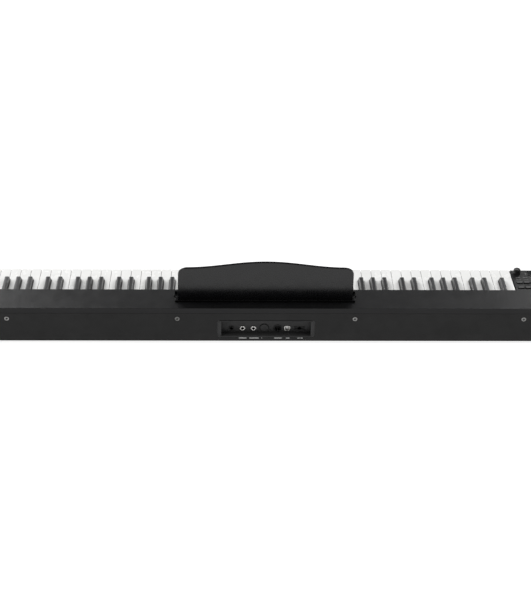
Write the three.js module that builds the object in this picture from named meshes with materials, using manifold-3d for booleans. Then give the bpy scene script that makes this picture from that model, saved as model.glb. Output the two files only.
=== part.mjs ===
import * as THREE from "three";
import { mergeVertices } from "three/addons/utils/BufferGeometryUtils.js";
import Module from "manifold-3d";

// An 88-key slab digital piano with a lift-out music rest, in millimetres.
// X runs from the bass end to the treble end, Y from the player to the back, Z up.
// Y is counted from the front edge of the white keys and Z from their tops;
// the last lines move the whole group so that its origin is the centre of its underside.

const wasm = await Module();
wasm.setup();

// ---- driving dimensions ----
const length = 1350;
const frontY = -17;
const ridgeY = 151;             // front edge of the raised rear housing
const backY = 236;
const caseBottom = -53;
const topZ = 31;
const partingZ = 18;            // joint between the top case and the bottom case, at the back
const sidePartingZ = -30;       // the same joint in front of the rear housing
const wall = 3;
const skin = 2.5;               // thickness of the upper covers
const fit = 0.3;                // gap between neighbouring parts

const keyPitch = 23.5;
const keyGap = 1;
const deckWidth = 94.5;         // bass cheek with the controls
const deckZ = 1;
const cheekGap = 1.8;           // shadow gap between the end keys and the cheeks

const footRadius = 10;
const footHeight = 6;

const leftX = -length / 2;
const rightX = length / 2;
const keyboardLeft = leftX + deckWidth;
const keyboardRight = keyboardLeft + 52 * keyPitch;
const floorTop = caseBottom + wall;

// ---- materials ----
function finish(color, roughness, metalness) {
  return new THREE.MeshStandardMaterial({ color, roughness, metalness });
}
const satinBlack = finish(0x2c2c2e, 0.55, 0);
const caseBlack = finish(0x262628, 0.65, 0);
const glossBlack = finish(0x08080a, 0.12, 0);
const ivory = finish(0xefefec, 0.3, 0);
const ebony = finish(0x1a1a1c, 0.45, 0);
const rubber = finish(0x161616, 0.9, 0);
const felt = finish(0x7a1f24, 0.95, 0);
const circuit = finish(0x1f5a34, 0.5, 0);
const nickel = finish(0xc8c8cc, 0.25, 1);
const paper = finish(0x2a2723, 0.85, 0);
const lens = finish(0x10171c, 0.1, 0);
const frameGrey = finish(0x55585c, 0.6, 0);

// ---- solid helpers ----
function solid(geometry) {
  const bare = geometry.index ? geometry.clone() : geometry;
  bare.deleteAttribute("normal");
  bare.deleteAttribute("uv");
  const merged = mergeVertices(bare, 1e-4);
  return new wasm.Manifold(new wasm.Mesh({
    numProp: 3,
    vertProperties: new Float32Array(merged.attributes.position.array),
    triVerts: new Uint32Array(merged.index.array),
  }));
}

function geometryOf(manifold) {
  const mesh = manifold.getMesh();
  const geometry = new THREE.BufferGeometry();
  geometry.setAttribute("position", new THREE.BufferAttribute(new Float32Array(mesh.vertProperties), 3));
  geometry.setIndex(new THREE.BufferAttribute(new Uint32Array(mesh.triVerts), 1));
  geometry.computeVertexNormals();
  return geometry;
}

function box(x0, x1, y0, y1, z0, z1) {
  const geometry = new THREE.BoxGeometry(x1 - x0, y1 - y0, z1 - z0);
  geometry.translate((x0 + x1) / 2, (y0 + y1) / 2, (z0 + z1) / 2);
  return solid(geometry);
}

function extruded(shape, depth, curveSegments = 4) {
  return new THREE.ExtrudeGeometry(shape, { depth, bevelEnabled: false, curveSegments });
}

// A plan outline of [x, y] points, raised from z0 to z1.
function planPrism(points, z0, z1) {
  const shape = new THREE.Shape(points.map(([x, y]) => new THREE.Vector2(x, y)));
  return solid(extruded(shape, z1 - z0).translate(0, 0, z0));
}

// A side outline of [y, z] points, drawn out from x0 to x1.
function sidePrism(points, x0, x1) {
  const shape = new THREE.Shape(points.map(([y, z]) => new THREE.Vector2(y, z)));
  const alongX = new THREE.Matrix4().makeBasis(
    new THREE.Vector3(0, 1, 0), new THREE.Vector3(0, 0, 1), new THREE.Vector3(1, 0, 0));
  return solid(extruded(shape, x1 - x0).applyMatrix4(alongX).translate(x0, 0, 0));
}

// A rounded rectangle standing in the back face, from y0 to y1.
function backPlate(x0, x1, z0, z1, radius, y0, y1) {
  const shape = new THREE.Shape();
  shape.moveTo(x0 + radius, z0);
  shape.lineTo(x1 - radius, z0);
  shape.absarc(x1 - radius, z0 + radius, radius, -Math.PI / 2, 0);
  shape.absarc(x1 - radius, z1 - radius, radius, 0, Math.PI / 2);
  shape.absarc(x0 + radius, z1 - radius, radius, Math.PI / 2, Math.PI);
  shape.absarc(x0 + radius, z0 + radius, radius, Math.PI, Math.PI * 1.5);
  return solid(extruded(shape, y1 - y0, 8).rotateX(Math.PI / 2).translate(0, y1, 0));
}

function rodY(x, z, radius, y0, y1, sides = 16) {
  const geometry = new THREE.CylinderGeometry(radius, radius, y1 - y0, sides);
  geometry.rotateY(Math.PI / sides).translate(x, (y0 + y1) / 2, z);
  return solid(geometry);
}

function rodZ(x, y, radius, z0, z1, sides = 16) {
  const geometry = new THREE.CylinderGeometry(radius, radius, z1 - z0, sides);
  geometry.rotateY(Math.PI / sides).rotateX(Math.PI / 2).translate(x, y, (z0 + z1) / 2);
  return solid(geometry);
}

function oval(x, y, halfLength, halfWidth, z0, z1) {
  const shape = new THREE.Shape();
  shape.absellipse(x, y, halfLength, halfWidth, 0, Math.PI * 2);
  return solid(extruded(shape, z1 - z0, 10).translate(0, 0, z0));
}

function joined(solids) {
  return solids.reduce((sum, next) => sum.add(next));
}

function without(base, cuts) {
  return cuts.reduce((rest, cut) => rest.subtract(cut), base);
}

const piano = new THREE.Group();

function addPart(name, shape, material) {
  const mesh = new THREE.Mesh(shape.isBufferGeometry ? shape : geometryOf(shape), material);
  mesh.name = name;
  piano.add(mesh);
  return mesh;
}

// ---- the 88 keys: where each one lies ----
const sharpShift = { 1: -2.3, 3: 2.3, 6: -3.5, 8: 0, 10: 3.5 };   // offset from the joint of two naturals
const noteNames = ["c", "c_sharp", "d", "d_sharp", "e", "f", "f_sharp", "g", "g_sharp", "a", "a_sharp", "b"];

const keys = [];
let naturalCount = 0;
for (let index = 0; index < 88; index += 1) {
  const step = (index + 9) % 12;
  const octave = Math.floor((index + 9) / 12);
  const isSharp = step in sharpShift;
  const edge = keyboardLeft + naturalCount * keyPitch;
  keys.push({
    name: `key_${noteNames[step]}${octave}`,
    octave,
    isSharp,
    left: edge,
    centre: isSharp ? edge + sharpShift[step] : edge + keyPitch / 2,
  });
  if (!isSharp) {
    naturalCount += 1;
  }
}

// ---- key shapes ----
const sharpHalf = 6.3;          // half width at the foot
const sharpTopHalf = 4.5;
const sharpTopZ = 11.5;
const sharpFootZ = 1.5;
const sharpFrontY = 50.5;
const sharpSlope = 6;           // how far the front leans back
const headDepth = sharpFrontY - keyGap;
const bodyEnd = 156;
const stripStart = 158;         // the rear strip that joins the keys of a bank
const tailEnd = 176;
const naturalBottom = -18;
const naturalTailTop = -11;
const sharpBottom = -14;
const sharpTailTop = -3;
const sharpTailBottom = -9.5;

function naturalKey(key, index) {
  const below = keys[index - 1];
  const above = keys[index + 1];
  const left = key.left + keyGap / 2;
  const right = key.left + keyPitch - keyGap / 2;
  const slotHalf = sharpHalf + keyGap;
  const tailLeft = below?.isSharp ? below.centre + slotHalf : left;
  const tailRight = above?.isSharp ? above.centre - slotHalf : right;
  const plan = [[left, 0], [right, 0]];
  if (tailRight < right) {
    plan.push([right, headDepth], [tailRight, headDepth]);
  }
  plan.push([tailRight, bodyEnd], [tailLeft, bodyEnd]);
  if (tailLeft > left) {
    plan.push([tailLeft, headDepth], [left, headDepth]);
  }
  const tail = box(tailLeft, tailRight, bodyEnd - 1, tailEnd, naturalBottom, naturalTailTop);
  return planPrism(plan, naturalBottom, 0).add(tail);
}

function sharpKey(key) {
  const x = key.centre;
  const foot = box(x - sharpHalf, x + sharpHalf, sharpFrontY, bodyEnd, sharpBottom, sharpFootZ);
  const tail = box(x - sharpHalf, x + sharpHalf, bodyEnd - 1, tailEnd, sharpTailBottom, sharpTailTop);
  const crown = new THREE.BoxGeometry(1, 1, 1);
  const corners = crown.attributes.position;
  for (let i = 0; i < corners.count; i += 1) {
    const isTop = corners.getZ(i) > 0;
    const isFront = corners.getY(i) < 0;
    const half = isTop ? sharpTopHalf : sharpHalf;
    const slope = isTop ? sharpSlope : 0;
    const y = isFront ? sharpFrontY + slope : bodyEnd - slope;
    corners.setXYZ(i, x + Math.sign(corners.getX(i)) * half, y, isTop ? sharpTopZ : sharpFootZ);
  }
  return joined([foot, tail, solid(crown)]);
}

function keyShape(key, index) {
  return key.isSharp ? sharpKey(key) : naturalKey(key, index);
}

// Keys below and above the middle octave are moulded in banks on a common rear strip.
function keyBank(name, belongs, isSharp) {
  const shapes = [];
  const centres = [];
  keys.forEach((key, index) => {
    if (key.isSharp === isSharp && belongs(key)) {
      shapes.push(keyShape(key, index));
      centres.push(key.centre);
    }
  });
  const reach = isSharp ? sharpHalf : (keyPitch - keyGap) / 2;
  const bottom = isSharp ? sharpTailBottom : naturalBottom;
  const top = isSharp ? sharpTailTop : naturalTailTop;
  const first = Math.min(...centres) - reach;
  const last = Math.max(...centres) + reach;
  shapes.push(box(first, last, stripStart, tailEnd, bottom, top));
  addPart(name, joined(shapes), isSharp ? ebony : ivory);
}

const singleOctave = 4;
keyBank("naturals_bass", (key) => key.octave < singleOctave, false);
keyBank("sharps_bass", (key) => key.octave < singleOctave, true);
keyBank("naturals_treble", (key) => key.octave > singleOctave, false);
keyBank("sharps_treble", (key) => key.octave > singleOctave, true);
keys.forEach((key, index) => {
  if (key.octave === singleOctave) {
    addPart(key.name, keyShape(key, index), key.isSharp ? ebony : ivory);
  }
});

// ---- key action under the keys ----
const frameLeft = keyboardLeft + 1.5;
const frameRight = keyboardRight - 1.5;
const frameBase = floorTop + fit;
const shelfTop = -31;

addPart("key_frame", joined([
  box(frameLeft, frameRight, 2, 180, frameBase, frameBase + 2.5),
  box(frameLeft, frameRight, 12, 20, frameBase, -30.2),
  box(frameLeft, frameRight, 90, 120, frameBase, shelfTop),
  box(frameLeft, frameRight, 164, 180, frameBase, naturalBottom - 0.6),
]), frameGrey);
addPart("rail_felt", box(frameLeft, frameRight, 12.5, 19.5, -29.9, -28.7), felt);
addPart("contact_board", box(frameLeft, frameRight, 91, 119, shelfTop + fit, shelfTop + fit + 1.6), circuit);
addPart("contact_rubber", sidePrism(
  [[95, -28.8], [115, -28.8], [115, -26.5], [110, -22.8], [100, -22.8], [95, -26.5]],
  frameLeft + 4, frameRight - 4), rubber);

// ---- back panel layout ----
const recessX = 0;
const frameHalf = 110.5;        // shallow frame round the recess
const frameTopZ = 0.3;
const frameLowZ = -44.2;
const frameInset = 3;
const cornerRadius = 9;
const recessHalf = 100.3;
const recessTopZ = -5;
const recessLowZ = -42;
const tubWall = 1.6;            // thickness of the recess's sides
const plateY = 216.5;           // face of the plate that holds the sockets
const plateThick = 2;

const screwZ = 3.5;
const screwXs = [-576, -198, 198, 576];
const screwHead = 5.4;
const screwShank = 1.7;
const bossHalf = 5;             // the posts of the top case that the screws bite into

// ---- bottom case: floor, ends and back wall in one moulding ----
const speakerXs = [-420, 420];
const speakerY = 207;
const speakerHalfLength = 60;
const speakerHalfWidth = 22;

function bottomCase() {
  const outline = [
    [frontY, caseBottom], [backY, caseBottom], [backY, partingZ - fit], [ridgeY, partingZ - fit],
    [ridgeY, sidePartingZ], [frontY, sidePartingZ],
  ];
  const cuts = [
    box(leftX + wall, rightX - wall, frontY + wall, backY - wall, floorTop, topZ),
    box(keyboardLeft - 10, keyboardRight + 10, ridgeY - 1, ridgeY + wall, -20, topZ),
    backPlate(recessX - frameHalf, recessX + frameHalf, frameLowZ, frameTopZ, cornerRadius,
      backY - wall - 1, backY + 1),
  ];
  for (const x of screwXs) {
    cuts.push(rodY(x, screwZ, screwHead + 0.6, backY - 1.6, backY + 1, 20));
    cuts.push(rodY(x, screwZ, screwShank + 0.4, backY - wall - 1, backY, 10));
  }
  for (const x of speakerXs) {
    for (let slot = -4; slot <= 4; slot += 1) {
      const reach = 15 - Math.abs(slot) * 1.2;
      cuts.push(box(x + slot * 11 - 2, x + slot * 11 + 2, speakerY - reach, speakerY + reach,
        caseBottom - 1, floorTop + 1));
    }
  }
  return without(sidePrism(outline, leftX, rightX), cuts);
}
addPart("bottom_case", bottomCase(), caseBlack);

// ---- music rest layout, shared with the slots of the top case ----
const restX = 2;                // the rest stands a little off centre
const pegXs = [restX - 150, restX + 150];
const pegHalf = 15;
const pegY = 193;
const pegThick = 5;
const pegDepth = 13;

// ---- top case: the raised housing behind the keys ----
const fasciaZ = sharpTopZ + 2;  // lower edge of its front, just above the sharps

function topCase() {
  const outline = [
    [ridgeY, fasciaZ], [ridgeY, topZ], [backY, topZ], [backY, partingZ], [backY - skin, partingZ],
    [backY - skin, topZ - skin], [ridgeY + skin, topZ - skin], [ridgeY + skin, fasciaZ],
  ];
  const endTop = [
    [ridgeY + 1, partingZ], [ridgeY + 1, topZ - 1], [backY - 1, topZ - 1], [backY - 1, partingZ],
  ];
  const parts = [
    sidePrism(outline, leftX, rightX),
    sidePrism(endTop, leftX, leftX + skin),
    sidePrism(endTop, rightX - skin, rightX),
  ];
  for (const x of screwXs) {
    parts.push(box(x - bossHalf, x + bossHalf, backY - wall - 12, backY - wall - fit, screwZ - 3, topZ - 1));
  }
  const cuts = [
    box(leftX - 1, leftX + wall + fit, ridgeY - 1, ridgeY + skin + 1, 0, partingZ),
    box(rightX - wall - fit, rightX + 1, ridgeY - 1, ridgeY + skin + 1, 0, partingZ),
  ];
  for (const x of screwXs) {
    cuts.push(rodY(x, screwZ, screwShank + fit, backY - wall - 11, backY, 10));
  }
  for (const x of pegXs) {
    cuts.push(box(x - pegHalf - 0.5, x + pegHalf + 0.5, pegY - pegThick / 2 - 0.5, pegY + pegThick / 2 + 0.5,
      topZ - skin - 1, topZ + 1));
  }
  return without(joined(parts), cuts);
}
addPart("top_case", topCase(), satinBlack);

// ---- bass deck and treble cheek ----
const cheekOutline = [
  [frontY, sidePartingZ + fit], [ridgeY - fit, sidePartingZ + fit], [ridgeY - fit, fasciaZ - fit],
  [ridgeY - fit - 3, fasciaZ - fit], [ridgeY - fit - 8, deckZ + 2.5], [ridgeY - fit - 13, deckZ], [4, deckZ],
  [frontY + 4, -11], [frontY, -15],
];
const cheekHollow = [
  [frontY + skin, -40], [ridgeY - fit - skin, -40], [ridgeY - fit - skin, deckZ - skin],
  [5, deckZ - skin], [frontY + skin, -15],
];

function cheek(x0, x1) {
  return sidePrism(cheekOutline, x0, x1).subtract(sidePrism(cheekHollow, x0 + skin, x1 - skin));
}

const buttonWidth = 14.6;
const buttonDepth = 9;
const buttonPitch = 16.8;
const buttonRows = [63, 87];
const buttonColumns = 4;
const buttonGapX = 0.4;         // between a button and its opening in the deck
const buttonGapY = 0.9;
const buttonRim = 0.4;          // how far a button's hidden rim reaches past its opening
const buttonRise = 2;
const buttonPlaces = [];
for (const y of buttonRows) {
  for (let column = 0; column < buttonColumns; column += 1) {
    buttonPlaces.push({ x: keyboardLeft - 15 - column * buttonPitch, y });
  }
}
const knobX = keyboardLeft - 15.4;
const knobY = 18;
const display = { x0: keyboardLeft - 84, x1: keyboardLeft - 40, y0: 9, y1: 26 };
const indicatorRows = [34.6, 45.7];
const indicatorWidth = 5;
const indicatorDepth = 1.8;

function buttonBox(place, marginX, marginY, z0, z1) {
  const halfWidth = buttonWidth / 2 + marginX;
  const halfDepth = buttonDepth / 2 + marginY;
  return box(place.x - halfWidth, place.x + halfWidth, place.y - halfDepth, place.y + halfDepth, z0, z1);
}

const indicatorPlaces = [];
for (const y of indicatorRows) {
  for (let column = 0; column < buttonColumns; column += 1) {
    indicatorPlaces.push({ x: keyboardLeft - 15 - column * buttonPitch, y });
  }
}

function indicatorBox(place, margin, z0, z1) {
  return box(place.x - indicatorWidth / 2 - margin, place.x + indicatorWidth / 2 + margin,
    place.y - indicatorDepth / 2 - margin, place.y + indicatorDepth / 2 + margin, z0, z1);
}

const deckCuts = [
  rodZ(knobX, knobY, 3.5, -5, 5),
  box(display.x0 - fit, display.x1 + fit, display.y0 - fit, display.y1 + fit, -5, 5),
];
for (const place of buttonPlaces) {
  deckCuts.push(buttonBox(place, buttonGapX, buttonGapY, -5, 5));
}
for (const place of indicatorPlaces) {
  deckCuts.push(indicatorBox(place, fit, -5, 5));
}
addPart("bass_deck", without(cheek(leftX, keyboardLeft - cheekGap), deckCuts), satinBlack);
addPart("treble_cheek", cheek(keyboardRight + cheekGap, rightX), satinBlack);

// ---- controls on the deck ----
const boardTop = -12;
const switchTop = -8;

const controlBoard = [box(leftX + 6, keyboardLeft - 6, 2, 120, boardTop - 1.6, boardTop)];
controlBoard.push(box(knobX - 6, knobX + 6, knobY - 6, knobY + 6, boardTop - 1, -7));
for (const place of buttonPlaces) {
  controlBoard.push(box(place.x - 3, place.x + 3, place.y - 3, place.y + 3, boardTop - 1, switchTop));
}
addPart("control_board", joined(controlBoard), circuit);

buttonPlaces.forEach((place, index) => {
  const cap = buttonBox(place, 0, 0, -6, deckZ + buttonRise);
  const rim = buttonBox(place, buttonGapX + buttonRim, buttonGapY + buttonRim, -6, deckZ - skin - fit);
  addPart(`button_${index + 1}`, cap.add(rim), rubber);
});

const knobProfile = [
  [0, -6.5], [3, -6.5], [3, deckZ + 0.6], [9, deckZ + 0.6], [8.8, deckZ + 3], [8, deckZ + 10.4],
  [6.6, deckZ + 12.2], [0, deckZ + 12.2],
].map(([radius, z]) => new THREE.Vector2(radius, z));
addPart("volume_knob", solid(new THREE.LatheGeometry(knobProfile, 20)
  .rotateX(Math.PI / 2).translate(knobX, knobY, 0)), satinBlack);

addPart("display_window", joined([
  box(display.x0, display.x1, display.y0, display.y1, -2.6, deckZ + 0.4),
  box(display.x0 + 3, display.x1 - 3, display.y0 + 2, display.y1 - 2, -6, -2),
]), lens);

const lightGuide = [box(leftX + 18, keyboardLeft - 8, 32, 48, -4.5, deckZ - skin - fit)];
for (const place of indicatorPlaces) {
  lightGuide.push(indicatorBox(place, 0, -3, deckZ + 0.2));
}
addPart("indicator_guide", joined(lightGuide), lens);

// ---- front rail between the cheeks ----
addPart("front_rail", sidePrism([
  [frontY, sidePartingZ + fit], [frontY + skin, sidePartingZ + fit], [frontY + skin, -16.5], [-1.2, -16.5],
  [-1.2, -14], [frontY + 2, -14], [frontY, -16],
], keyboardLeft, keyboardRight), satinBlack);

// ---- socket recess and what sits in it ----
const socketZ = -31.4;
const sockets = {
  pedal: { x: 77.5, z: socketZ },
  phoneOne: { x: 52.5, z: socketZ },
  phoneTwo: { x: 27.9, z: socketZ },
  power: { x: 3.8, z: -30 },
  midi: { x: -26.8, z: socketZ },
  usb: { x: -47.9, z: socketZ },
  dc: { x: -75.4, z: socketZ },
};
const barrelHole = 5.9;
const powerHole = 10.4;
const midiHole = 9.9;
const usbHalf = [6.6, 6];
const dcHalf = [12, 4.5];
const wellBack = 201;           // closed end of the pocket behind the power button

function recessTub() {
  const flangeHalf = frameHalf - fit;
  const flange = backPlate(recessX - flangeHalf, recessX + flangeHalf, frameLowZ + fit, frameTopZ - fit,
    cornerRadius - fit, backY - frameInset - 3.5, backY - frameInset);
  const tub = box(recessX - recessHalf - tubWall, recessX + recessHalf + tubWall, plateY - plateThick,
    backY - frameInset - 1, recessLowZ - tubWall, recessTopZ + tubWall);
  const hollow = box(recessX - recessHalf, recessX + recessHalf, plateY, backY + 1, recessLowZ, recessTopZ);
  const wellHalf = powerHole + tubWall;
  const well = box(sockets.power.x - wellHalf, sockets.power.x + wellHalf, wellBack,
    plateY - plateThick + 0.5, sockets.power.z - wellHalf, sockets.power.z + wellHalf);
  const holes = [
    rodY(sockets.power.x, sockets.power.z, powerHole, wellBack + 2, plateY + 1, 24),
    rodY(sockets.midi.x, sockets.midi.z, midiHole, plateY - 3, plateY + 1, 20),
    box(sockets.usb.x - usbHalf[0] - fit, sockets.usb.x + usbHalf[0] + fit, plateY - 3, plateY + 1,
      sockets.usb.z - usbHalf[1] - fit, sockets.usb.z + usbHalf[1] + fit),
    box(sockets.dc.x - dcHalf[0] - fit, sockets.dc.x + dcHalf[0] + fit, plateY - 3, plateY + 1,
      sockets.dc.z - dcHalf[1] - fit, sockets.dc.z + dcHalf[1] + fit),
  ];
  for (const socket of [sockets.pedal, sockets.phoneOne, sockets.phoneTwo]) {
    holes.push(rodY(socket.x, socket.z, barrelHole, plateY - 3, plateY + 1, 12));
  }
  return without(joined([flange, tub, well]), [hollow, ...holes]);
}
addPart("jack_recess", recessTub(), satinBlack);

const boardY = 197;             // back face of the upright socket board
const bodyFront = plateY - plateThick - fit;
const boreRadius = 3.5;

// A 6.35 mm jack: a block behind the plate and a threaded barrel with its nut in front.
function phoneJack(place, nutRadius) {
  const block = box(place.x - 7, place.x + 7, boardY + fit, bodyFront, place.z - 7, place.z + 7);
  const barrel = rodY(place.x, place.z, barrelHole - fit, bodyFront - 1, plateY + 2.4, 12);
  const nut = rodY(place.x, place.z, nutRadius, plateY + fit, plateY + 2.2, 12);
  const bore = rodY(place.x, place.z, boreRadius, boardY + 2, plateY + 4, 8);
  return joined([block, barrel, nut]).subtract(bore);
}
addPart("pedal_jack", phoneJack(sockets.pedal, 6.6), satinBlack);
addPart("phone_jack_1", phoneJack(sockets.phoneOne, 6.6), nickel);
addPart("phone_jack_2", phoneJack(sockets.phoneTwo, 6.6), nickel);

addPart("power_button", joined([
  rodY(sockets.power.x, sockets.power.z, powerHole - 1, bodyFront - 4, plateY + 2, 24),
  rodY(sockets.power.x, sockets.power.z, 4, wellBack + 4.5, bodyFront - 3, 12),
]), satinBlack);

const midiFace = rodY(sockets.midi.x, sockets.midi.z, midiHole - fit, bodyFront - 2, plateY + 1, 20);
const midiBlock = box(sockets.midi.x - 9.5, sockets.midi.x + 9.5, boardY + fit, bodyFront,
  sockets.midi.z - 9.5, sockets.midi.z + 9.5);
addPart("midi_socket", midiFace.add(midiBlock).subtract(
  rodY(sockets.midi.x, sockets.midi.z, 7, plateY - 8, plateY + 2, 16)), caseBlack);

function rectSocket(place, half, proud, mouth, tongue) {
  const shell = box(place.x - half[0], place.x + half[0], boardY + fit, plateY + proud,
    place.z - half[1], place.z + half[1]);
  const opening = box(place.x - mouth[0], place.x + mouth[0], plateY - 9, plateY + proud + 1,
    place.z - mouth[1], place.z + mouth[1]);
  const inside = box(place.x - tongue[0], place.x + tongue[0], plateY - 10, plateY - 5,
    place.z - tongue[1], place.z + tongue[1]);
  return shell.subtract(opening).add(inside);
}
addPart("usb_socket", rectSocket(sockets.usb, usbHalf, 1.2, [5.4, 4.9], [1.6, 1.6]), nickel);
addPart("dc_inlet", rectSocket(sockets.dc, dcHalf, 0.6, [3.6, 3.6], [0.9, 0.9]), caseBlack);

addPart("jack_board", box(-92, 92, boardY - 1.6, boardY, -46, -14), circuit);

// ---- electronics and speakers in the rear bay ----
addPart("main_board", joined([
  box(150, 330, 186, 230, -46, -44.4),
  box(200, 222, 196, 218, -45, -42.6),
  box(250, 262, 200, 212, -45, -42.6),
  box(290, 320, 190, 226, -45, -30),
]), circuit);

speakerXs.forEach((x, index) => {
  const base = floorTop + fit;
  addPart(`speaker_${index + 1}`, joined([
    oval(x, speakerY, speakerHalfLength, speakerHalfWidth, base, base + 2),
    oval(x, speakerY, speakerHalfLength - 6, speakerHalfWidth - 3, base + 1, base + 14),
    rodZ(x, speakerY, 17, base + 13, base + 26, 20),
  ]).subtract(oval(x, speakerY, speakerHalfLength - 8, speakerHalfWidth - 5, base - 1, base + 8)), paper);
});

const loomRoute = new THREE.CatmullRomCurve3([
  [-628, 112, -17], [-628, 130, -36], [-628, 165, -38], [-610, 195, -22], [-540, 207, 8], [-300, 207, 9],
  [0, 207, 9], [120, 207, 6], [164, 207, -14], [172, 207, -40],
].map(([x, y, z]) => new THREE.Vector3(x, y, z)));
const loomSection = new THREE.Shape();
loomSection.absarc(0, 0, 2.5, 0, Math.PI * 2);
addPart("wiring_loom", solid(new THREE.ExtrudeGeometry(loomSection, {
  extrudePath: loomRoute, steps: 40, curveSegments: 8, bevelEnabled: false,
})), rubber);

// ---- feet and back screws ----
const footPlaces = [[-560, 14], [560, 14], [-560, 196], [560, 196]];
const footProfile = [
  [0, 0], [footRadius - 1, 0], [footRadius, 1.5], [footRadius, footHeight - fit], [0, footHeight - fit],
].map(([radius, z]) => new THREE.Vector2(radius, z));
footPlaces.forEach(([x, y], index) => {
  addPart(`foot_${index + 1}`, solid(new THREE.LatheGeometry(footProfile, 20)
    .rotateX(Math.PI / 2).translate(x, y, caseBottom - footHeight)), rubber);
});

screwXs.forEach((x, index) => {
  const head = rodY(x, screwZ, screwHead, backY - 1.3, backY - 0.1, 20);
  const shank = rodY(x, screwZ, screwShank, backY - wall - 9, backY - 1, 8);
  const cross = [
    box(x - 2.6, x + 2.6, backY - 0.9, backY + 1, screwZ - 0.6, screwZ + 0.6),
    box(x - 0.6, x + 0.6, backY - 0.9, backY + 1, screwZ - 2.6, screwZ + 2.6),
  ];
  addPart(`back_screw_${index + 1}`, without(head.add(shank), cross), nickel);
});

// ---- music rest ----
const restLean = THREE.MathUtils.degToRad(22);
const restBackY = 208;          // where the rear face of the panel meets the ledge
const restThick = 5;
const restHalf = 195.3;
const restMean = 121;           // slope length between the dips and the crest of the top edge
const restWave = 10;
const restDip = 175;            // from the middle to where the top edge dips lowest
const restTaper = 3;            // each side leans in by this much
const restCorner = 21;
const ledgeTop = topZ + fit + 4.2;
const ledgeHalf = 205;
const ledgeNeckHalf = 199.5;    // the ends are drawn in behind the front lip
const ledgeFootHalf = 201.5;
const ledgeFrontY = 175;
const ledgeBackY = 209;
const lipThick = 4;
const lipRise = 6;

function restOutline() {
  const shape = new THREE.Shape();
  const cornerX = restHalf - restTaper - restCorner;
  const topAt = (x) => restMean + restWave * Math.cos(Math.PI * x / restDip);
  shape.moveTo(-restHalf, 0);
  shape.lineTo(restHalf, 0);
  shape.lineTo(restHalf - restTaper, topAt(cornerX) - restCorner);
  shape.absarc(cornerX, topAt(cornerX) - restCorner, restCorner, 0, Math.PI / 2);
  const waveSteps = 20;
  for (let i = 1; i < waveSteps; i += 1) {
    const x = cornerX * (1 - 2 * i / waveSteps);
    shape.lineTo(x, topAt(x));
  }
  shape.absarc(-cornerX, topAt(cornerX) - restCorner, restCorner, Math.PI / 2, Math.PI);
  return shape;
}
const restPanel = extruded(restOutline(), restThick, 6);
restPanel.rotateX(Math.PI / 2 - restLean);
restPanel.translate(restX, restBackY, ledgeTop + fit);
addPart("rest_panel", solid(restPanel), glossBlack);

function restLedge() {
  const treblePlan = [
    [ledgeHalf, ledgeFrontY], [ledgeHalf, ledgeFrontY + 9], [ledgeNeckHalf, ledgeFrontY + 15],
    [ledgeFootHalf, ledgeFrontY + 25], [ledgeFootHalf, ledgeBackY],
  ];
  const bassPlan = treblePlan.map(([x, y]) => [-x, y]).reverse();
  const plan = [...treblePlan, ...bassPlan].map(([x, y]) => [restX + x, y]);
  const plate = planPrism(plan, topZ + fit, ledgeTop);
  const lip = box(restX - ledgeHalf, restX + ledgeHalf, ledgeFrontY, ledgeFrontY + lipThick,
    topZ + fit, ledgeTop + lipRise);
  const pegs = pegXs.map((x) => box(x - pegHalf, x + pegHalf, pegY - pegThick / 2, pegY + pegThick / 2,
    topZ - pegDepth, topZ + 1));
  return joined([plate, lip, ...pegs]);
}
addPart("rest_ledge", restLedge(), glossBlack);

// ---- origin at the centre of the underside ----
const bounds = new THREE.Box3().setFromObject(piano);
const centre = bounds.getCenter(new THREE.Vector3());
piano.position.set(-centre.x, -centre.y, -bounds.min.z);
piano.updateMatrixWorld(true);

const model = new THREE.Group();
model.add(piano);

export default model;
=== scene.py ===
import math

import bmesh
import bpy
from mathutils import Matrix, Vector


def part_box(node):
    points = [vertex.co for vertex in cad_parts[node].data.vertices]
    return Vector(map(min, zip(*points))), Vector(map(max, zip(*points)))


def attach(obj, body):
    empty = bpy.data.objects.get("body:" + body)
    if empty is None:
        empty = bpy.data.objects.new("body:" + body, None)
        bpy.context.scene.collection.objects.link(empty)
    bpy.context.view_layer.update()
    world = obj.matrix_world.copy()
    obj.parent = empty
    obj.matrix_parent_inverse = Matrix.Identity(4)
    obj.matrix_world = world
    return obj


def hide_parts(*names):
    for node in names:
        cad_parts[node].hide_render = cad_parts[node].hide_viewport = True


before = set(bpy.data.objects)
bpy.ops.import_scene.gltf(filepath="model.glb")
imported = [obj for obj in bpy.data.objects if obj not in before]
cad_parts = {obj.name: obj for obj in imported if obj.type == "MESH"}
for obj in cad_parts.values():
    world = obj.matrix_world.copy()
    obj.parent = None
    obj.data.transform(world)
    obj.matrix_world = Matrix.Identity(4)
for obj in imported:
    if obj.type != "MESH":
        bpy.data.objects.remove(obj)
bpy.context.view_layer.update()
print("frame loaded", len(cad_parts), "nodes")

# Pieces are shaped in millimetres from the front edge of the white keys and from their tops.
mm = 0.001
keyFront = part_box("naturals_bass")[0].y
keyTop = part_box("naturals_bass")[1].z
intoFrame = Matrix.Translation((0, keyFront, keyTop)) @ Matrix.Scale(mm, 4)
outOfFrame = intoFrame.inverted()


def nodeBox(node):
    low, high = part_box(node)
    return outOfFrame @ low, outOfFrame @ high


# camera: behind the instrument, above it, a little towards its treble end
# (its place is in millimetres, like the pieces; the angles are in degrees)
cameraSet = {"place": (76.1, 3102.42, 1709.6), "down": 30.02, "turn": -1.477, "roll": 0.847, "lens": 89.92}


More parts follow.
